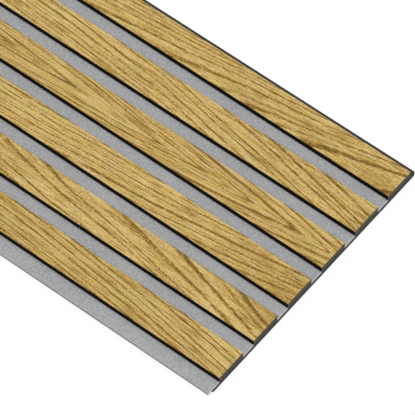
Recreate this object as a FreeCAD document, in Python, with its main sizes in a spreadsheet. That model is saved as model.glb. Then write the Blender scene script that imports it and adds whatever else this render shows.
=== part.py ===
import FreeCAD, Part
import os
import Sketcher

# Acoustic slat wall panel: oak-faced slats on a grooved backing board, with felt laid between the slats.
# It lies on its back. X runs along the slats, Y from the felt overhang to the bare lip, and Z up to the oak.
# The origin is under the middle of the whole panel, on its back. Lengths are in millimetres.

SIZES = (
    ("panel_length", 2400.0, "length of the board, the slats and the felt"),
    ("slat_count", 6, "slats side by side"),
    ("slat_width", 34.6, "width of a slat"),
    ("gap_width", 15.4, "clear width between two slats"),
    ("slat_rise", 6.2, "height of the oak face above the felt"),
    ("veneer_thickness", 0.6, "thickness of the oak on a slat"),
    ("oak_arris", 0.3, "easing of the oak's two long upper edges"),
    ("board_thickness", 7.0, "thickness of the backing board"),
    ("board_arris", 0.5, "easing of the board's long outer edges"),
    ("felt_thickness", 2.5, "thickness of the felt, and the depth of its grooves"),
    ("felt_clearance", 0.1, "gap between a felt strip and the side of its groove"),
    ("far_lip", 6.2, "width of the board that stays bare past the last slat"),
    ("felt_overhang", 7.0, "reach of the edge felt past the board, over the next panel's lip"),
)

PITCH = "(Sizes.slat_width + Sizes.gap_width)"
BOARD_WIDTH = f"(Sizes.slat_count * {PITCH})"
LEDGE_WIDTH = "(Sizes.gap_width - Sizes.far_lip)"
NEAR_EDGE = f"((Sizes.felt_overhang - {BOARD_WIDTH}) / 2)"
GROOVE_FLOOR = "(Sizes.board_thickness - Sizes.felt_thickness)"
CORE_HEIGHT = "(Sizes.slat_rise - Sizes.veneer_thickness)"
SAME_PLACE = 0.001


def slat_near_side(number):
    """Y of a slat's near side, as an expression. Slats are numbered from the felt overhang."""
    return f"{NEAR_EDGE} + {LEDGE_WIDTH} + {number - 1} * {PITCH}"


def make_sheet(doc):
    """Write the driving dimensions into a spreadsheet, each under its own alias."""
    sheet = doc.addObject("Spreadsheet::Sheet", "Sizes")
    for row, (alias, value, meaning) in enumerate(SIZES, start=1):
        sheet.set(f"A{row}", alias)
        sheet.set(f"B{row}", str(value))
        sheet.set(f"C{row}", meaning)
        sheet.setAlias(f"B{row}", alias)
    doc.recompute()
    return sheet


def new_body(doc, name, across, up):
    """Start a piece whose near lower edge lies at the given Y and Z expressions."""
    body = doc.addObject("PartDesign::Body", name)
    body.Label = name
    body.setExpression("Placement.Base.y", across)
    body.setExpression("Placement.Base.z", up)
    return body


def section_sketch(body, name, width, height, across="0", up="0"):
    """Draw a rectangle of the cross-section, its near lower corner set off from the piece's own edge."""
    sketch = body.newObject("Sketcher::SketchObject", f"{body.Name}_{name}")
    plane = [item for item in body.Origin.OriginFeatures if item.Role == "YZ_Plane"][0]
    sketch.AttachmentSupport = (plane, [""])
    sketch.MapMode = "FlatFace"
    corners = [FreeCAD.Vector(*point, 0) for point in ((1, 1), (2, 1), (2, 2), (1, 2))]
    for start, end in zip(corners, corners[1:] + corners[:1]):
        sketch.addGeometry(Part.LineSegment(start, end), False)
    for side in range(4):
        sketch.addConstraint(Sketcher.Constraint("Coincident", side, 2, (side + 1) % 4, 1))
    for side in (0, 2):
        sketch.addConstraint(Sketcher.Constraint("Horizontal", side))
        sketch.addConstraint(Sketcher.Constraint("Vertical", side + 1))
    dimensions = (
        ("width", "DistanceX", (0, 1, 0, 2), width),
        ("height", "DistanceY", (1, 1, 1, 2), height),
        ("across", "DistanceX", (-1, 1, 0, 1), across),
        ("up", "DistanceY", (-1, 1, 0, 1), up),
    )
    for label, kind, points, expression in dimensions:
        index = sketch.addConstraint(Sketcher.Constraint(kind, *points, 1.0))
        sketch.renameConstraint(index, label)
        sketch.setExpression(f"Constraints.{label}", expression)
    return sketch


def run_length(body, kind, sketch, name):
    """Run a section along the whole panel, as solid (Pad) or as a cut (Pocket)."""
    feature = body.newObject(f"PartDesign::{kind}", f"{body.Name}_{name}")
    feature.Profile = sketch
    feature.Midplane = True
    feature.setExpression("Length", "Sizes.panel_length")
    sketch.Visibility = False
    return feature


def ease_edges(body, base, corners, arris, name):
    """Chamfer the long edges of a feature that run through the given (Y, Z) corners of the section."""
    edges = []
    for number, edge in enumerate(base.Shape.Edges, start=1):
        middle = edge.CenterOfMass
        for across, up in corners:
            if abs(middle.x) + abs(middle.y - across) + abs(middle.z - up) < SAME_PLACE:
                edges.append(f"Edge{number}")
    chamfer = body.newObject("PartDesign::Chamfer", f"{body.Name}_{name}")
    chamfer.Base = (base, edges)
    chamfer.setExpression("Size", arris)
    return chamfer


def make_backing_board(doc, sheet):
    """The board: a blank, a groove for each felt strip, the ledge of the lap joint, and eased outer edges."""
    body = new_body(doc, "backing_board", NEAR_EDGE, "0")
    blank = section_sketch(body, "blank_section", BOARD_WIDTH, "Sizes.board_thickness")
    run_length(body, "Pad", blank, "blank")

    first_groove = f"{LEDGE_WIDTH} + Sizes.slat_width"
    groove_section = section_sketch(
        body, "groove_section", "Sizes.gap_width", "Sizes.felt_thickness", first_groove, GROOVE_FLOOR
    )
    groove = run_length(body, "Pocket", groove_section, "groove")
    doc.recompute()
    grooves = body.newObject("PartDesign::LinearPattern", "backing_board_grooves")
    grooves.Originals = [groove]
    grooves.Direction = (groove_section, ["H_Axis"])
    grooves.setExpression("Occurrences", "Sizes.slat_count - 1")
    grooves.setExpression("Length", f"{PITCH} * (Sizes.slat_count - 2)")
    body.Tip = grooves

    ledge_section = section_sketch(body, "ledge_section", LEDGE_WIDTH, "Sizes.felt_thickness", "0", GROOVE_FLOOR)
    ledge = run_length(body, "Pocket", ledge_section, "ledge")
    doc.recompute()

    width = sheet.slat_count * (sheet.slat_width + sheet.gap_width)
    outer_corners = ((0, 0), (width, 0), (width, sheet.board_thickness))
    ease_edges(body, ledge, outer_corners, "Sizes.board_arris", "eased_edges")


def make_slat_core(doc, number):
    """The dark lath of one slat, standing on its land of the board."""
    body = new_body(doc, f"slat_core_{number}", slat_near_side(number), "Sizes.board_thickness")
    section = section_sketch(body, "section", "Sizes.slat_width", CORE_HEIGHT)
    run_length(body, "Pad", section, "lath")


def make_oak_face(doc, sheet, number):
    """The oak on one slat, its long upper edges eased."""
    core_top = f"Sizes.board_thickness + {CORE_HEIGHT}"
    body = new_body(doc, f"oak_face_{number}", slat_near_side(number), core_top)
    section = section_sketch(body, "section", "Sizes.slat_width", "Sizes.veneer_thickness")
    veneer = run_length(body, "Pad", section, "veneer")
    doc.recompute()
    upper_corners = ((0, sheet.veneer_thickness), (sheet.slat_width, sheet.veneer_thickness))
    ease_edges(body, veneer, upper_corners, "Sizes.oak_arris", "eased_edges")


def make_felt_strip(doc, number):
    """The felt in the groove past one slat."""
    across = f"{slat_near_side(number)} + Sizes.slat_width + Sizes.felt_clearance"
    body = new_body(doc, f"felt_strip_{number}", across, GROOVE_FLOOR)
    width = "Sizes.gap_width - 2 * Sizes.felt_clearance"
    section = section_sketch(body, "section", width, "Sizes.felt_thickness")
    run_length(body, "Pad", section, "strip")


def make_overhang_strip(doc):
    """The wider felt on the near ledge, which reaches past the board."""
    body = new_body(doc, "felt_overhang_strip", f"{NEAR_EDGE} - Sizes.felt_overhang", GROOVE_FLOOR)
    width = f"Sizes.felt_overhang + {LEDGE_WIDTH} - Sizes.felt_clearance"
    section = section_sketch(body, "section", width, "Sizes.felt_thickness")
    run_length(body, "Pad", section, "strip")


def make_panel(doc):
    """Make every piece of the panel and return the pieces."""
    sheet = make_sheet(doc)
    make_backing_board(doc, sheet)
    for number in range(1, int(sheet.slat_count) + 1):
        make_slat_core(doc, number)
        make_oak_face(doc, sheet, number)
    for number in range(1, int(sheet.slat_count)):
        make_felt_strip(doc, number)
    make_overhang_strip(doc)
    doc.recompute()
    return [item for item in doc.Objects if item.TypeId == "PartDesign::Body"]


def check_model(doc, pieces):
    """Stop if a feature failed, or if a piece is missing, invalid or not one solid."""
    for item in doc.Objects:
        if "Invalid" in item.State or "Error" in item.State:
            raise RuntimeError(f"{item.Label} failed: {item.State}")
    for piece in pieces:
        if piece.Shape.isNull() or not piece.Shape.isValid() or len(piece.Shape.Solids) != 1:
            raise RuntimeError(f"{piece.Label} is not one valid solid")


def write_parts(pieces):
    """Write each piece to a STEP file of its own name."""
    os.makedirs("parts", exist_ok=True)
    for piece in pieces:
        piece.Shape.exportStep(f"parts/{piece.Label}.step")


document = FreeCAD.newDocument("AcousticSlatPanel")
panel_pieces = make_panel(document)
check_model(document, panel_pieces)
write_parts(panel_pieces)
for panel_piece in panel_pieces:
    print(f"{panel_piece.Label}: {panel_piece.Shape.Volume / 1000:.1f} cm3")
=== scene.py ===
# %% [markdown]
# An acoustic slat wall panel, dressed for the camera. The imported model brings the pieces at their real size:
# a dark grooved backing board, six slat cores, an oak face on each, and felt between them. Rigid pieces keep
# those solids and get a finish. The felt is soft, so it is modelled again here.

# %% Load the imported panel
import math
from typing import NamedTuple

import bpy
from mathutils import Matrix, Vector


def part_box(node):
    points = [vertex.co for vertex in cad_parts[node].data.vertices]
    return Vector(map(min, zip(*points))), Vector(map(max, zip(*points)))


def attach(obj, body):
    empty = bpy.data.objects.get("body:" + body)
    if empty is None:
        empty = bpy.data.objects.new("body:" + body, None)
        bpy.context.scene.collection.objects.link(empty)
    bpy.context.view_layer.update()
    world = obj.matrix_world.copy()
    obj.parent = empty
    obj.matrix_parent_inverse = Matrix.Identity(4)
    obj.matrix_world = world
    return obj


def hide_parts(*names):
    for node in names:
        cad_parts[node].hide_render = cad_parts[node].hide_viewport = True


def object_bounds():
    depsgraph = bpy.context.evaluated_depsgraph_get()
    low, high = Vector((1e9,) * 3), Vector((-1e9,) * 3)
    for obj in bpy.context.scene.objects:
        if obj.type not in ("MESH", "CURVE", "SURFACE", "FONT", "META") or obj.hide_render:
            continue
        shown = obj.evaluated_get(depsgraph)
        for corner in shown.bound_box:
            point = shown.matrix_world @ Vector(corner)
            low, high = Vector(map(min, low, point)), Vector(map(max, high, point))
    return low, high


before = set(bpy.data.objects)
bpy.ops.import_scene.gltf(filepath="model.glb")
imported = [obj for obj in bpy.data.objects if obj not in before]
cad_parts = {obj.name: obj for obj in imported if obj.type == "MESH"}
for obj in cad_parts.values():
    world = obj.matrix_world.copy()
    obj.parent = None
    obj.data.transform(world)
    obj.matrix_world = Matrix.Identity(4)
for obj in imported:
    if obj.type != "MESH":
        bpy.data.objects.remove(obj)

CAD_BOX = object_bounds()
MM = 0.001
SLAT_COUNT = sum(name.startswith("oak_face_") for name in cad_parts)
print("slats:", SLAT_COUNT, "panel box:", CAD_BOX)

# %% [markdown]
# The camera stands where the photograph was taken from. Its turn, height and lens were found by fitting the
# edges of the slats: they run almost parallel, so it is a long lens, four metres away. It aims at a point on
# the oak a little way in from the cut end. Nothing is rolled or shifted.

# %% Place the camera
LENS = 383.2
SENSOR_WIDTH = 36.0
CAMERA_TURN = math.radians(-51.66)
CAMERA_HEIGHT = math.radians(55.95)
CAMERA_DISTANCE = 4.042
FARTHEST_SEEN = 50.0
AIM_FROM_CUT_END = 0.12213
AIM_FROM_FAR_EDGE = 0.15331

aim = Vector((CAD_BOX[1][0] - AIM_FROM_CUT_END, CAD_BOX[1][1] - AIM_FROM_FAR_EDGE, CAD_BOX[1][2]))
towards_camera = Vector((
    math.cos(CAMERA_HEIGHT) * math.cos(CAMERA_TURN),
    math.cos(CAMERA_HEIGHT) * math.sin(CAMERA_TURN),
    math.sin(CAMERA_HEIGHT),
))
camera_data = bpy.data.cameras.new("camera")
camera_data.lens = LENS
camera_data.sensor_width = SENSOR_WIDTH
camera_data.clip_end = FARTHEST_SEEN
camera = bpy.data.objects.new("camera", camera_data)
camera.location = aim + CAMERA_DISTANCE * towards_camera
camera.rotation_euler = towards_camera.to_track_quat("Z", "Y").to_euler()
bpy.context.scene.collection.objects.link(camera)
bpy.context.scene.camera = camera
print("camera at", tuple(round(part, 3) for part in camera.location))

# %% [markdown]
# The photograph is lit softly from above: the felt darkens only close beside each slat, and no shadow has an
# edge. A sun lamp would draw sharp edges there. So one very broad lamp overhead gives most of the light, and
# a plain white world fills in from the sides. The lamp hangs high, so that it lights both ends of the long
# panel.

# %% Light the panel
WHITE = (1.0, 1.0, 1.0, 1.0)
WORLD_LEVEL = 0.45
LAMP_POWER = 515.0
LAMP_SIZE = 9.0
LAMP_PLACE = (2.0, -0.9, 7.5)

world = bpy.data.worlds.new("studio")
world.use_nodes = True
world.node_tree.nodes["Background"].inputs["Color"].default_value = WHITE
world.node_tree.nodes["Background"].inputs["Strength"].default_value = WORLD_LEVEL
bpy.context.scene.world = world

lamp_data = bpy.data.lights.new("soft_lamp", "AREA")
lamp_data.energy = LAMP_POWER
lamp_data.shape = "DISK"
lamp_data.size = LAMP_SIZE
lamp = bpy.data.objects.new("soft_lamp", lamp_data)
lamp.location = LAMP_PLACE
lamp.rotation_euler = (lamp.location - aim).to_track_quat("Z", "Y").to_euler()
bpy.context.scene.collection.objects.link(lamp)
bpy.context.scene.view_settings.view_transform = "Standard"
print("world level", WORLD_LEVEL, "and a lamp of", LAMP_POWER, "watts,", LAMP_SIZE, "metres across")

# %% [markdown]
# Finishes are made from small nodes. They could be placed and linked by hand in the shader editor, but the
# grain of oak takes well over a hundred. This helper holds one material, adds a node to it, and sets or links
# the node's inputs.

# %% The nodes of a material
class Nodes:
    """One material and the nodes in it."""

    def __init__(self, name):
        self.material = bpy.data.materials.new(name)
        self.material.use_nodes = True
        self.tree = self.material.node_tree
        self.shader = self.tree.nodes["Principled BSDF"]

    def feed(self, socket, source):
        """Link an output to a socket, or set the socket's own value."""
        if isinstance(source, bpy.types.NodeSocket):
            self.tree.links.new(source, socket)
        else:
            socket.default_value = source

    def surface(self, inputs):
        """Feed the shader's own sockets."""
        for name, source in inputs.items():
            self.feed(self.shader.inputs[name], source)

    def node(self, kind, inputs, **settings):
        """Add a node with the given settings and inputs, and return all its outputs."""
        node = self.tree.nodes.new(kind)
        for name, value in settings.items():
            setattr(node, name, value)
        for key, source in inputs.items():
            self.feed(node.inputs[key], source)
        return node.outputs


# %% [markdown]
# A formula takes one Math node for each step. Written out node by node it is hard to read, so each kind of
# step gets a short name. Then a formula looks almost as it would on paper.

# %% Sums in nodes
class Sums(Nodes):
    """A material whose nodes can work out numbers."""

    def math(self, operation, first, second=0.0):
        """One step of arithmetic."""
        return self.node("ShaderNodeMath", {0: first, 1: second}, operation=operation)[0]

    def total(self, first, *others):
        """Add numbers up."""
        for other in others:
            first = self.math("ADD", first, other)
        return first

    def product(self, first, *others):
        """Multiply numbers together."""
        for other in others:
            first = self.math("MULTIPLY", first, other)
        return first

    def combine(self, x, y, z):
        """Three numbers as one vector."""
        return self.node("ShaderNodeCombineXYZ", {0: x, 1: y, 2: z})[0]

    def fade(self, value, low, high, start=0.0, end=1.0):
        """Carry a value smoothly from start to end as it goes from low to high."""
        inputs = {"Value": value, "From Min": low, "From Max": high, "To Min": start, "To Max": end}
        return self.node("ShaderNodeMapRange", inputs, interpolation_type="SMOOTHSTEP")[0]


# %% [markdown]
# A finish needs more than numbers: where a point lies on the piece, which way its surface faces, a noise that
# gives it some life, and ways to mix colours. The place is read in metres from the piece's own origin, and a
# Mapping node turns it into millimetres, so that a pattern's size can be checked against the real thing.

# %% Patterns and colours
MIX_FIRST_COLOUR = 6
MIX_SECOND_COLOUR = 7
MIX_RESULT_COLOUR = 2


class Finish(Sums):
    """A material with patterns and colours."""

    def millimetres(self, middle=(0.0, 0.0, 0.0)):
        """The point on the piece in millimetres from a given middle, as three numbers."""
        place = self.node("ShaderNodeTexCoord", {})["Object"]
        shift = tuple(-part / MM for part in middle)
        mapping = {"Vector": place, "Location": shift, "Scale": (1 / MM, 1 / MM, 1 / MM)}
        return tuple(self.node("ShaderNodeSeparateXYZ", {0: self.node("ShaderNodeMapping", mapping)[0]}))

    def facing(self):
        """How squarely the surface faces along the panel, and how squarely across it, each from 0 to 1."""
        normal = self.node("ShaderNodeNewGeometry", {})["Normal"]
        along, across, _ = self.node("ShaderNodeSeparateXYZ", {0: normal})
        return self.math("ABSOLUTE", along), self.math("ABSOLUTE", across)

    def noise(self, vector, detail, roughness):
        """Smooth noise around 0.5, one cell for each unit of the vector."""
        inputs = {"Vector": vector, "Scale": 1.0, "Detail": detail, "Roughness": roughness}
        return self.node("ShaderNodeTexNoise", inputs)[0]

    def cloud(self, place, size, detail, roughness=0.5):
        """Noise whose cells have one size every way, in the unit of the place."""
        vector = self.combine(*(self.product(part, 1 / size) for part in place))
        return self.noise(vector, detail, roughness)

    def mix(self, amount, first, second, blend_type):
        """Mix two colours in one of Blender's ways."""
        inputs = {"Factor": amount, MIX_FIRST_COLOUR: first, MIX_SECOND_COLOUR: second}
        return self.node("ShaderNodeMix", inputs, data_type="RGBA", blend_type=blend_type)[MIX_RESULT_COLOUR]

    def blend(self, amount, first, second):
        """Go from one colour to another."""
        return self.mix(amount, first, second, "MIX")

    def tinted(self, shade, red, green, blue):
        """Make each part of a colour stronger or weaker."""
        tint = self.node("ShaderNodeCombineColor", {0: red, 1: green, 2: blue})[0]
        return self.mix(1.0, shade, tint, "MULTIPLY")

    def bump(self, height, depth):
        """Raise the surface where the height is more, by up to a depth in metres."""
        self.surface({"Normal": self.node("ShaderNodeBump", {"Height": height, "Distance": depth})[0]})


# %% [markdown]
# A shader takes light values, which aren't the 0 to 255 steps that a picture holds. Colours are easier to
# judge in those steps, so they are written that way and turned into light values here. A carried-over piece
# keeps its mesh and only gets a material.

# %% Colours and dressing
def colour(red, green, blue):
    """A colour given in the usual 0 to 255 steps, as light values, by the curve of sRGB."""
    steps = [value / 255 for value in (red, green, blue)]
    linear = [step / 12.92 if step < 0.04045 else ((step + 0.055) / 1.055) ** 2.4 for step in steps]
    return (*linear, 1.0)


def dress(node, material):
    """Give a carried-over piece its finish."""
    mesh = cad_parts[node].data
    mesh.materials.clear()
    mesh.materials.append(material)
    print(node, "is dressed in", material.name)


# %% [markdown]
# Each slat is faced with a leaf of oak veneer. In the photograph the grain differs from slat to slat, because
# each leaf was cut from another place in the log. One picture of wood, laid over all six, would repeat. So a
# few plain values describe how a leaf was cut, and one formula draws its grain from them.

# %% A leaf of oak
# How far the noise of one slat lies from that of the next
SEED_STEP = 7.3


class Leaf(NamedTuple):
    """How one slat's oak was cut. Lengths are in millimetres, and places from the middle of its cut end."""

    axis: float  # where the heart's axis lies across the slat
    roundness: float  # how round the tips of the arches are
    opening: int  # 1 if the arches open towards the cut end, and -1 if away from it
    end_slip: float  # how far the rings slip outwards in each millimetre, at the cut end
    inner_slip: float  # the same, far in from the cut end
    heart_ring: float  # width of a ring beside the heart
    outer_ring: float  # width of a ring further out
    start: float  # where the count of the rings starts
    swing: float  # height of the fibres' slow swing across the slat
    crest: float  # where along the slat that swing is highest
    tone: float  # how dark the leaf is
    end_tone: float  # how much darker it is at the cut end
    end_lean: float  # how much more than that on the far side


class OakFinish(Finish):
    """The finish of one slat's oak. It measures in millimetres from the middle of the slat's cut end."""

    def __init__(self, number):
        super().__init__(f"golden_oak_{number}")
        low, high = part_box(f"oak_face_{number}")
        self.number = number
        self.seed = SEED_STEP * number
        self.half_width = (high[1] - low[1]) / 2 / MM
        self.along, self.across, _ = self.millimetres((high[0], (low[1] + high[1]) / 2, high[2]))

    def grain(self, length, width, detail=2.0, roughness=0.5, seed=0.0):
        """Noise drawn out along the slat."""
        parts = (self.product(self.along, 1 / length), self.product(self.across, 1 / width))
        return self.noise(self.combine(*parts, self.seed + seed), detail, roughness)

    def wave(self, value, height, length, crest):
        """A wave of the value, with a crest at the given place."""
        turn = self.product(self.math("SUBTRACT", value, crest), 2 * math.pi / length)
        return self.product(self.math("COSINE", turn), height)

    def dying_away(self, reach):
        """1 at the cut end, and less the further in, by a factor e for each reach."""
        return self.math("EXPONENT", self.product(self.along, 1 / reach))


# %% [markdown]
# Oak shows its growth rings. A flat-cut face crosses them at a low angle, so the rings draw long arches that
# run along the slat and open out. Blender's Wave texture draws rings too, but they are all alike and can't be
# led along a slat. Each arch is a line of equal distance from the heart's axis, so a distance formula draws
# them here: across the slat it is measured from the axis, and along the slat it slips, faster towards the cut
# end. The width of a ring goes from one value near the heart to another further out.

# %% Count the rings
SLIP_REACH = 200.0
HEART_REACH = 30.0
LEAST_DEPTH = -2 * HEART_REACH


def count_rings(oak, across, leaf):
    """Count the growth rings from the heart's axis to this point of the slat."""
    offset = oak.math("SUBTRACT", across, leaf.axis)
    squared = oak.total(oak.product(offset, offset), leaf.roundness ** 2)
    distance = oak.math("SUBTRACT", oak.math("SQRT", squared), leaf.roundness)
    end_bend = (leaf.end_slip - leaf.inner_slip) * SLIP_REACH * leaf.opening
    bend = oak.product(oak.dying_away(SLIP_REACH), end_bend)
    slipped = oak.total(oak.product(oak.along, leaf.inner_slip * leaf.opening), bend)
    depth = oak.math("SUBTRACT", distance, slipped)
    # Beside the heart, each millimetre of depth counts 1 / heart_ring rings, and far out 1 / outer_ring.
    nearness = oak.product(oak.math("MAXIMUM", depth, LEAST_DEPTH), -1 / HEART_REACH)
    slower = (1 / leaf.outer_ring - 1 / leaf.heart_ring) * HEART_REACH
    near = oak.product(oak.math("EXPONENT", nearness), slower)
    far = oak.total(oak.product(depth, 1 / leaf.outer_ring), leaf.start)
    return oak.total(far, near)


# %% [markdown]
# Real rings wander. The fibres swing across the slat in long waves, they feather the edge of each line, and
# some years are wide and others narrow. A hand could draw each line, but it would be a picture of one slat
# only. Here cosines of different lengths make the swings and the uneven years, and noise drawn out along the
# slat does the rest. The slat's number moves the smaller waves and the noise, so that no two slats are alike.

# %% Let the rings wander
NOISE_MIDDLE = 0.5
SWING_LENGTH = 430.0
# Each swing's height and length in millimetres, and how far its crest moves from slat to slat
SMALLER_SWINGS = ((0.6, 210.0, 97.0), (0.4, 120.0, 61.0))
# The length, width and height of the fibres' feathering, in millimetres
WANDERS = ((90.0, 40.0, 0.5), (24.0, 5.0, 1.3), (30.0, 1.1, 1.6))
# The same as for the swings, but counted in rings
UNEVEN_YEARS = ((0.1, 3.3, 1.3), (0.1, 1.9, 0.7))


def wandering_rings(oak, leaf):
    """Count the rings where swinging fibres and uneven years have moved them."""
    wavy = oak.total(oak.across, oak.wave(oak.along, leaf.swing, SWING_LENGTH, leaf.crest))
    for height, length, crest in SMALLER_SWINGS:
        wavy = oak.total(wavy, oak.wave(oak.along, height, length, crest * oak.number))
    for length, width, height in WANDERS:
        wander = oak.math("SUBTRACT", oak.grain(length, width), NOISE_MIDDLE)
        wavy = oak.total(wavy, oak.product(wander, height))
    even = count_rings(oak, wavy, leaf)
    years = (oak.wave(even, height, length, crest * oak.number) for height, length, crest in UNEVEN_YEARS)
    return oak.total(even, oak.total(*years))


# %% [markdown]
# The first part of each ring is full of open pores, so it is a dark line broken into dashes. The later part
# is smooth and pale, with at most one thin line. A line is made from the place within the ring, and noise
# that follows the ring breaks it up. Each year gets its own strength from white noise of the ring's number.

# %% The lines in a ring
# Where in the ring a line begins, is full, thins out and ends
PORE_LINE = (0.04, 0.10, 0.16, 0.38)
LATE_LINE = (0.50, 0.58, 0.60, 0.74)
YEAR_DIFFERENCE = 0.28
# Half way between two rings' numbers, so that the late line has a strength of its own
LATE_SEED = 0.5
LATE_LEVELS = (0.3, 0.9)
DASH_LENGTH = 18.0
DASHES_IN_RING = 3.0
DASH_LEVELS = (0.36, 0.54)
LEAST_DASH = 0.45
THREAD_LENGTH = 38.0
THREADS_IN_RING = 4.4
THREAD_LEVELS = (0.46, 0.64)


def year_strength(oak, ring):
    """A number from 0 to 1 that differs from ring to ring."""
    return oak.node("ShaderNodeTexWhiteNoise", {"W": ring}, noise_dimensions="1D")[0]


def ring_line(oak, within, begins, full, thins, ends):
    """A line in each ring. Its places are shares of the ring's width."""
    return oak.product(oak.fade(within, begins, full), oak.fade(within, thins, ends, 1.0, 0.0))


def ring_noise(oak, rings, length, cells_in_ring):
    """Noise that follows the rings, drawn out along them."""
    vector = oak.combine(oak.product(oak.along, 1 / length), oak.product(rings, cells_in_ring), oak.seed)
    return oak.noise(vector, detail=3.0, roughness=0.7)


def ring_marks(oak, rings):
    """The pore line before it is broken, and the three kinds of marks that follow the rings."""
    within = oak.math("FRACT", rings)
    ring = oak.total(oak.math("FLOOR", rings), oak.seed)
    strength = oak.total(oak.product(year_strength(oak, ring), YEAR_DIFFERENCE), 1.0 - YEAR_DIFFERENCE)
    late_strength = oak.fade(year_strength(oak, oak.total(ring, LATE_SEED)), *LATE_LEVELS)
    pore_line = ring_line(oak, within, *PORE_LINE)
    dashes = oak.fade(ring_noise(oak, rings, DASH_LENGTH, DASHES_IN_RING), *DASH_LEVELS)
    broken_line = oak.product(pore_line, strength, oak.fade(dashes, 0.0, 1.0, LEAST_DASH, 1.0))
    late_line = oak.product(ring_line(oak, within, *LATE_LINE), late_strength, dashes)
    threads = oak.fade(ring_noise(oak, rings, THREAD_LENGTH, THREADS_IN_RING), *THREAD_LEVELS)
    return pore_line, broken_line, late_line, threads


# %% [markdown]
# Other marks don't keep to the rings: single open pores, the fibres themselves, slow patches, and short
# flecks that are stronger in the pore line. Each is noise drawn out along the slat, and shows where the noise
# is high. Streaks of warmer and yellower wood are made the same way. A photograph of oak would give all this
# too, but it would need a picture file and show its repeats.

# %% The marks along the slat
class Marks(NamedTuple):
    """One kind of marks. Their length along the slat and their width are in millimetres."""

    length: float
    width: float
    seed: float
    low: float  # the noise level at which a mark begins to show
    high: float  # the noise level at which it is full
    detail: float = 1.0
    roughness: float = 0.5


PORES = Marks(length=30, width=0.8, seed=3.1, low=0.50, high=0.66)
FIBRES = Marks(length=26, width=1.5, seed=5.7, low=0.34, high=0.66, detail=3.0, roughness=0.65)
PATCHES = Marks(length=70, width=9, seed=9.2, low=0.3, high=0.7)
FLECKS = Marks(length=2.2, width=0.9, seed=15.8, low=0.36, high=0.64)
WARM_STREAKS = Marks(length=14, width=2.8, seed=12.4, low=0.36, high=0.64)
YELLOW_STREAKS = Marks(length=16, width=3.0, seed=18.6, low=0.36, high=0.64)


def along_slat(oak, marks, start=0.0, end=1.0):
    """One kind of marks, from start where there are none to end where they are full."""
    noise = oak.grain(marks.length, marks.width, marks.detail, marks.roughness, marks.seed)
    return oak.fade(noise, marks.low, marks.high, start, end)


# %% [markdown]
# Some leaves are darker than others, and a leaf's tone drifts towards its cut end. The tone and all the marks
# add up to one darkness, from 0 for pale wood to 1 deep in a pore. Each kind of mark could have a colour of
# its own, but then marks that cross would hide each other, where in wood they only get darker.

# %% How dark the oak is
# How much each kind of mark darkens the wood where it is full
BROKEN_LINE_DARK = 0.80
LATE_LINE_DARK = 0.38
THREADS_DARK = 0.16
PORES_DARK = 0.36
FIBRES_DARK = 0.09
PATCHES_DARK = 0.06
FLECKS_DARK = (0.24, 0.64)
TONE_REACH = 60.0


def leaf_tone(oak, leaf):
    """How dark the leaf is here, apart from its marks."""
    lean = oak.product(oak.across, 1 / oak.half_width)
    end_tone = oak.total(oak.product(lean, leaf.end_lean), leaf.end_tone)
    return oak.total(oak.product(end_tone, oak.dying_away(TONE_REACH)), leaf.tone)


def oak_darkness(oak, leaf):
    """The tone and all marks as one number. Flecks go both ways, and are strongest in the pore line."""
    pore_line, broken_line, late_line, threads = ring_marks(oak, wandering_rings(oak, leaf))
    flecks = along_slat(oak, FLECKS, -0.5, 0.5)
    return oak.total(
        oak.product(broken_line, BROKEN_LINE_DARK),
        oak.product(late_line, LATE_LINE_DARK),
        oak.product(threads, THREADS_DARK),
        oak.product(along_slat(oak, PORES), PORES_DARK),
        oak.product(along_slat(oak, FIBRES), FIBRES_DARK),
        oak.product(along_slat(oak, PATCHES), PATCHES_DARK),
        oak.product(flecks, oak.fade(pore_line, 0.0, 1.0, *FLECKS_DARK)),
        leaf_tone(oak, leaf),
    )


# %% [markdown]
# The wood goes from pale to gold to brown as it gets darker, and only the deepest pores are darker still. A
# colour ramp could do this, but here the steps overlap, so each is a blend over its own range of darkness.
# Streaks of redder and of yellower wood lie over that, as thin as in the photograph.

# %% The colours of oak
OAK_PALE = colour(211, 185, 121)
OAK_GOLD = colour(186, 155, 87)
OAK_BROWN = colour(141, 109, 42)
OAK_PORE = colour(101, 74, 24)
GOLD_RANGE = (0.0, 0.36)
BROWN_RANGE = (0.22, 0.72)
PORE_RANGE = (0.70, 1.35)
WARM_STREAK = 0.034
LESS_GREEN = 0.6 * WARM_STREAK
YELLOW_STREAK = 0.14


def oak_colour(oak, dark):
    """The wood's colour at a darkness, with its warm and yellow streaks."""
    shade = oak.blend(oak.fade(dark, *GOLD_RANGE), OAK_PALE, OAK_GOLD)
    shade = oak.blend(oak.fade(dark, *BROWN_RANGE), shade, OAK_BROWN)
    shade = oak.blend(oak.fade(dark, *PORE_RANGE), shade, OAK_PORE)
    warm = along_slat(oak, WARM_STREAKS, -1.0, 1.0)
    yellow = along_slat(oak, YELLOW_STREAKS, -1.0, 1.0)
    red = oak.total(1.0, oak.product(warm, WARM_STREAK))
    green = oak.math("SUBTRACT", 1.0, oak.product(warm, LESS_GREEN))
    blue = oak.math("SUBTRACT", 1.0, oak.product(yellow, YELLOW_STREAK))
    return oak.tinted(shade, red, green, blue)


# %% [markdown]
# The same material also covers the veneer's thin edges. The sawn end shows end grain, which is much darker
# than the face, and the long sides were lacquered black with the core. Parts of the mesh could get materials
# of their own, but which way a face points already tells them apart. Darker places are duller and lie a
# little lower, as open pores do. The face takes only a faint shine.

# %% The oak finish
OAK_END = colour(112, 88, 50)
EDGE_BLACK = colour(20, 13, 5)
EDGE_FACING = (0.58, 0.92)
OAK_ROUGHNESS = (0.42, 0.60)
PORE_DEPTH = 0.06 * MM


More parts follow.
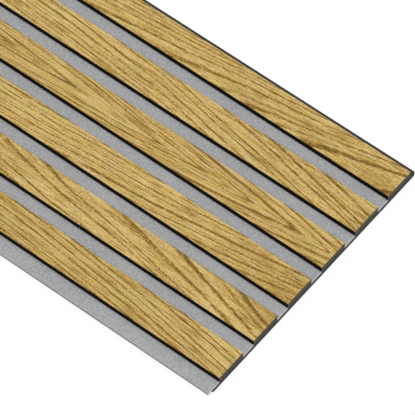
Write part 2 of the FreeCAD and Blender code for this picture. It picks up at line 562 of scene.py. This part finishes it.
def oak_finish(number, leaf):
    """Golden oak for one slat."""
    oak = OakFinish(number)
    dark = oak_darkness(oak, leaf)
    end_facing, side_facing = oak.facing()
    shade = oak.blend(oak.fade(end_facing, *EDGE_FACING), oak_colour(oak, dark), OAK_END)
    shade = oak.blend(oak.fade(side_facing, *EDGE_FACING), shade, EDGE_BLACK)
    roughness = oak.fade(dark, 0.0, 1.0, *OAK_ROUGHNESS)
    oak.surface({"Base Color": shade, "Roughness": roughness, "Specular IOR Level": 0.2})
    oak.bump(oak.product(dark, -1.0), PORE_DEPTH)
    return oak.material


# %% [markdown]
# These values were set by trial, slat by slat, until the arches lay and opened as in the photograph. They
# could be drawn at random, but then the panel would be another one than in the photograph. Past the
# photograph's edge the same formula goes on.

# %% Oak on the slats
LEAVES = {
    6: Leaf(
        axis=-30, roundness=45, opening=1, end_slip=0.20, inner_slip=0.0,
        heart_ring=4.0, outer_ring=2.5, start=2.8, swing=2.0, crest=0,
        tone=0.06, end_tone=0.10, end_lean=-0.15,
    ),
    5: Leaf(
        axis=65, roundness=45, opening=1, end_slip=0.21, inner_slip=0.04,
        heart_ring=10.0, outer_ring=5.0, start=2.5, swing=2.0, crest=-80,
        tone=0.05, end_tone=0.05, end_lean=0.0,
    ),
    4: Leaf(
        axis=0, roundness=1, opening=-1, end_slip=0.19, inner_slip=0.04,
        heart_ring=6.5, outer_ring=7.0, start=0.2, swing=1.0, crest=-210,
        tone=0.07, end_tone=0.0, end_lean=-0.10,
    ),
    3: Leaf(
        axis=-50, roundness=35, opening=1, end_slip=0.15, inner_slip=0.03,
        heart_ring=7.5, outer_ring=4.0, start=2.2, swing=1.0, crest=-260,
        tone=0.02, end_tone=0.20, end_lean=-0.10,
    ),
    2: Leaf(
        axis=30, roundness=40, opening=1, end_slip=0.13, inner_slip=0.09,
        heart_ring=9.0, outer_ring=6.0, start=3.5, swing=3.0, crest=-360,
        tone=0.04, end_tone=0.10, end_lean=0.20,
    ),
    1: Leaf(
        axis=65, roundness=1, opening=1, end_slip=0.16, inner_slip=0.07,
        heart_ring=9.0, outer_ring=6.0, start=0.0, swing=2.0, crest=-300,
        tone=0.12, end_tone=-0.10, end_lean=-0.15,
    ),
}
for number in range(1, SLAT_COUNT + 1):
    dress(f"oak_face_{number}", oak_finish(number, LEAVES[number]))

# %% [markdown]
# The cores and the board are fibreboard dyed black right through. Where it is sawn, at the ends, the cut
# fibres scatter light and it looks dark grey, and browner on the cores. The long sides of the slats are
# lacquered, so they are near black. One flat black would look like plastic, so a fine and a coarse speckle
# vary each colour.

# %% Dark fibreboard
SAWN_GREY = colour(73, 74, 73)
SAWN_BROWN = colour(92, 87, 72)
BOARD_GREY = colour(60, 59, 57)
LACQUER_BLACK = colour(14, 9, 4)
SAWN_FACING = 0.7
FINE_SIZE = 0.35
COARSE_SIZE = 3.5
SPECKLE_LEVELS = (0.3, 0.7)
FINE_SHADES = (0.78, 1.16)
COARSE_SHADES = (-0.06, 0.08)
FACE_TO_SAWN_ROUGHNESS = (0.6, 0.88)
FIBREBOARD_DEPTH = 0.04 * MM


def fibreboard_finish(name, face_colour, sawn_colour):
    """Dark fibreboard: one colour on its long faces and another on its sawn ends."""
    board = Finish(name)
    place = board.millimetres()
    end_facing, _ = board.facing()
    sawn = board.math("GREATER_THAN", end_facing, SAWN_FACING)
    fine = board.cloud(place, FINE_SIZE, detail=2.0, roughness=0.7)
    coarse = board.cloud(place, COARSE_SIZE, detail=2.0)
    speckle = board.total(
        board.fade(fine, *SPECKLE_LEVELS, *FINE_SHADES),
        board.fade(coarse, *SPECKLE_LEVELS, *COARSE_SHADES),
    )
    shade = board.tinted(board.blend(sawn, face_colour, sawn_colour), speckle, speckle, speckle)
    roughness = board.fade(sawn, 0.0, 1.0, *FACE_TO_SAWN_ROUGHNESS)
    board.surface({"Base Color": shade, "Roughness": roughness, "Specular IOR Level": 0.06})
    board.bump(fine, FIBREBOARD_DEPTH)
    return board.material


core_material = fibreboard_finish("lacquered_core", LACQUER_BLACK, SAWN_BROWN)
board_material = fibreboard_finish("dyed_board", BOARD_GREY, SAWN_GREY)
dress("backing_board", board_material)
for number in range(1, SLAT_COUNT + 1):
    dress(f"slat_core_{number}", core_material)

# %% [markdown]
# The felt is needled from fine grey fibres. Close to, they lie every way and leave lighter and darker flecks,
# over slow clouds where the fibre lies thicker. Hair could draw each fibre, but it would be heavy, and at
# this distance noise of the fibres' own scale looks the same. Felt takes no shine, only a faint sheen from
# the fibre ends. Light and shade are painted into its colour as well: its cut end is painted paler, as if
# lit, with painted shade at the foot where it meets the groove, and its long sides are painted darker, as
# if in shade.

# %% The felt finish
FELT_SHADE = colour(139, 140, 146)
FELT_PALE = colour(181, 181, 179)
# Painted light: the felt's cut end is painted paler than its face, as if more light fell on it
FELT_CUT_END_PAINTED_LIGHT = colour(206, 206, 206)
# Painted shade: the felt's long sides are painted darker than its face
FELT_SIDE_PAINTED_SHADE = colour(120, 120, 121)
# Painted shade: the foot of the cut end, where it meets the groove, is painted darker
FELT_FOOT_PAINTED_SHADE = colour(96, 96, 98)
FIBRE_SIZE = 1.85
FIBRE_LEVELS = (0.34, 0.66)
FIBRE_SHARE = 0.64
CLOUD_SIZE = 9.0
CLOUD_SHARE = 0.2
DRIFT_SIZE = 55.0
DRIFT_SHARE = 0.3
FELT_DARKER = 0.11
FELT_FACING = (0.5, 0.9)
FELT_FACING_SHARE = (0.0, 0.8)
GROOVE_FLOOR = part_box("felt_strip_1")[0][2] / MM
# How far up the cut end the painted shade at its foot reaches
FOOT_SHADE_FADES = (GROOVE_FLOOR + 0.2, GROOVE_FLOOR + 1.2)
FIBRE_DEPTH = 0.12 * MM


def felt_finish():
    """Light grey needled felt."""
    felt = Finish("grey_felt")
    place = felt.millimetres()
    fibres = felt.cloud(place, FIBRE_SIZE, detail=4.0, roughness=0.7)
    clouds = felt.product(felt.cloud(place, CLOUD_SIZE, detail=2.0), CLOUD_SHARE)
    drift = felt.product(felt.cloud(place, DRIFT_SIZE, detail=1.0), DRIFT_SHARE)
    pale = felt.total(felt.product(felt.fade(fibres, *FIBRE_LEVELS), FIBRE_SHARE), felt.total(clouds, drift))
    shade = felt.blend(felt.math("SUBTRACT", pale, FELT_DARKER), FELT_SHADE, FELT_PALE)
    end_facing, side_facing = felt.facing()
    # The cut end: painted light above, and painted shade at its foot
    painted_cut_end = felt.blend(felt.fade(place[2], *FOOT_SHADE_FADES), FELT_FOOT_PAINTED_SHADE, FELT_CUT_END_PAINTED_LIGHT)
    shade = felt.blend(felt.fade(end_facing, *FELT_FACING, *FELT_FACING_SHARE), shade, painted_cut_end)
    # The long sides: painted shade
    shade = felt.blend(felt.fade(side_facing, *FELT_FACING, *FELT_FACING_SHARE), shade, FELT_SIDE_PAINTED_SHADE)
    felt.surface({"Base Color": shade, "Roughness": 0.95, "Sheen Weight": 0.15, "Specular IOR Level": 0.15})
    felt.bump(fibres, FIBRE_DEPTH)
    return felt.material


felt_material = felt_finish()
print(felt_material.name, "has", len(felt_material.node_tree.nodes), "nodes")

# %% [markdown]
# A felt strip is cut from a soft sheet, so its upper edges are round and its face rolls a little. It could be
# a plain box, but that would look like plastic. It starts as a grid of its real width and length, and is
# drawn down to its thickness. The grid's small faces are what the roll needs later.

# %% Start a strip of felt
FELT_STEP_ALONG = 6.0 * MM
FELT_STEPS_ACROSS = 8


def felt_block(name, low, high):
    """A block between two corners, its upper face divided into small faces."""
    size = high - low
    bpy.ops.object.select_all(action="DESELECT")
    bpy.ops.mesh.primitive_grid_add(
        x_subdivisions=round(size.x / FELT_STEP_ALONG),
        y_subdivisions=FELT_STEPS_ACROSS,
        size=1.0,
        location=((low.x + high.x) / 2, (low.y + high.y) / 2, high.z),
    )
    piece = bpy.context.object
    piece.name = piece.data.name = name
    piece.scale = (size.x, size.y, 1.0)
    bpy.ops.object.transform_apply(location=True, rotation=True, scale=True)
    bpy.ops.object.mode_set(mode="EDIT")
    bpy.ops.mesh.select_all(action="SELECT")
    bpy.ops.mesh.extrude_region_move(TRANSFORM_OT_translate={"value": (0.0, 0.0, -size.z)})
    bpy.ops.mesh.select_all(action="SELECT")
    bpy.ops.mesh.normals_make_consistent(inside=False)
    bpy.ops.mesh.select_all(action="DESELECT")
    bpy.ops.object.mode_set(mode="OBJECT")
    return piece


# %% [markdown]
# The cut rim of felt is soft, so it looks round and not sharp. By hand its edges would be picked in the
# viewport. Here they are picked by their place: on the upper face, and on one of the block's four sides. A
# narrow bevel then rounds them.

# %% Round the rim
FELT_ROUND = 0.35 * MM
FELT_ROUND_STEPS = 3
SAME_PLACE = 0.01 * MM


def is_rim(ends, low, high):
    """Whether an edge between two points runs along the upper rim of the block."""
    if any(abs(end.z - high.z) >= SAME_PLACE for end in ends):
        return False
    sides = [(axis, limit[axis]) for axis in (0, 1) for limit in (low, high)]
    return any(all(abs(end[axis] - place) < SAME_PLACE for end in ends) for axis, place in sides)


def round_rim(piece, low, high):
    """Bevel the upper rim of a block of felt."""
    for edge in piece.data.edges:
        edge.select = is_rim([piece.data.vertices[index].co for index in edge.vertices], low, high)
    bpy.ops.object.mode_set(mode="EDIT")
    bpy.ops.mesh.select_mode(type="EDGE")
    bpy.ops.mesh.bevel(offset=FELT_ROUND, segments=FELT_ROUND_STEPS, profile=0.5)
    bpy.ops.object.mode_set(mode="OBJECT")


# %% [markdown]
# The sheet isn't quite even, so the strip's face rolls up and down by a fifth of a millimetre. Sculpting
# could do it, but each strip would need its own strokes. A Displace modifier with a slow cloud pattern does
# it for all, and because it reads the mesh's own place, each strip rolls in its own way.

# %% Model the felt
FELT_ROLL = 0.22 * MM
FELT_ROLL_SIZE = 20.0 * MM
SMOOTH_ANGLE = math.radians(40)

roll_pattern = bpy.data.textures.new("felt_roll", "CLOUDS")
roll_pattern.noise_scale = FELT_ROLL_SIZE
roll_pattern.noise_depth = 1


def roll_face(piece):
    """Push the felt up and down by the cloud pattern, and shade it smooth."""
    roll = piece.modifiers.new("roll", "DISPLACE")
    roll.texture = roll_pattern
    roll.texture_coords = "LOCAL"
    roll.direction = "Z"
    roll.mid_level = 0.5
    roll.strength = FELT_ROLL
    bpy.ops.object.modifier_apply(modifier=roll.name)
    bpy.ops.object.shade_smooth_by_angle(angle=SMOOTH_ANGLE)


def model_felt(node):
    """Model one strip of felt over its plain solid."""
    low, high = (Vector(corner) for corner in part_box(node))
    piece = felt_block(f"felt_of_{node}", low, high)
    round_rim(piece, low, high)
    roll_face(piece)
    piece.data.materials.clear()
    piece.data.materials.append(felt_material)
    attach(piece, "root")
    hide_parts(node)
    return piece


felt_nodes = [f"felt_strip_{number}" for number in range(1, SLAT_COUNT)] + ["felt_overhang_strip"]
for node in felt_nodes:
    felt_piece = model_felt(node)
    print(felt_piece.name, len(felt_piece.data.polygons), "faces")

# %% [markdown]
# The floor is plain and pale. The camera sees it almost white, as the photograph's background is. More light
# would whiten it too, but would wash out the oak. So its material shows white straight to the camera, keeps a
# share of the panel's soft shadow, and still sends plain light back up to the panel's edges. It lies a hair
# below the panel's back, because two faces in the very same place would flicker.

# %% Lay the floor
FLOOR_SIZE = 40.0
FLOOR_COLOUR = (0.9, 0.9, 0.9, 1.0)
FLOOR_SHADOW_SHARE = 0.08
FLOOR_GAP = 0.05 * MM

bpy.ops.object.select_all(action="DESELECT")
bpy.ops.mesh.primitive_plane_add(size=FLOOR_SIZE, location=(0.0, 0.0, CAD_BOX[0][2] - FLOOR_GAP))
floor = bpy.context.object
floor.name = "floor"
floor_finish = Finish("pale_floor")
floor_finish.surface({"Base Color": FLOOR_COLOUR, "Roughness": 1.0, "Specular IOR Level": 0.0})
seen = floor_finish.node("ShaderNodeLightPath", {})
white = floor_finish.node("ShaderNodeEmission", {"Color": WHITE, "Strength": 1.0})[0]
direct = floor_finish.math("MAXIMUM", seen["Is Camera Ray"], seen["Is Glossy Ray"])
direct = floor_finish.math("MAXIMUM", direct, seen["Is Transmission Ray"])
share = floor_finish.product(direct, 1.0 - FLOOR_SHADOW_SHARE)
lit = floor_finish.shader.outputs[0]
surface = floor_finish.node("ShaderNodeMixShader", {0: share, 1: lit, 2: white})[0]
floor_finish.feed(floor_finish.tree.nodes["Material Output"].inputs["Surface"], surface)
floor.data.materials.append(floor_finish.material)
print("floor at height", round(CAD_BOX[0][2] - FLOOR_GAP, 6))
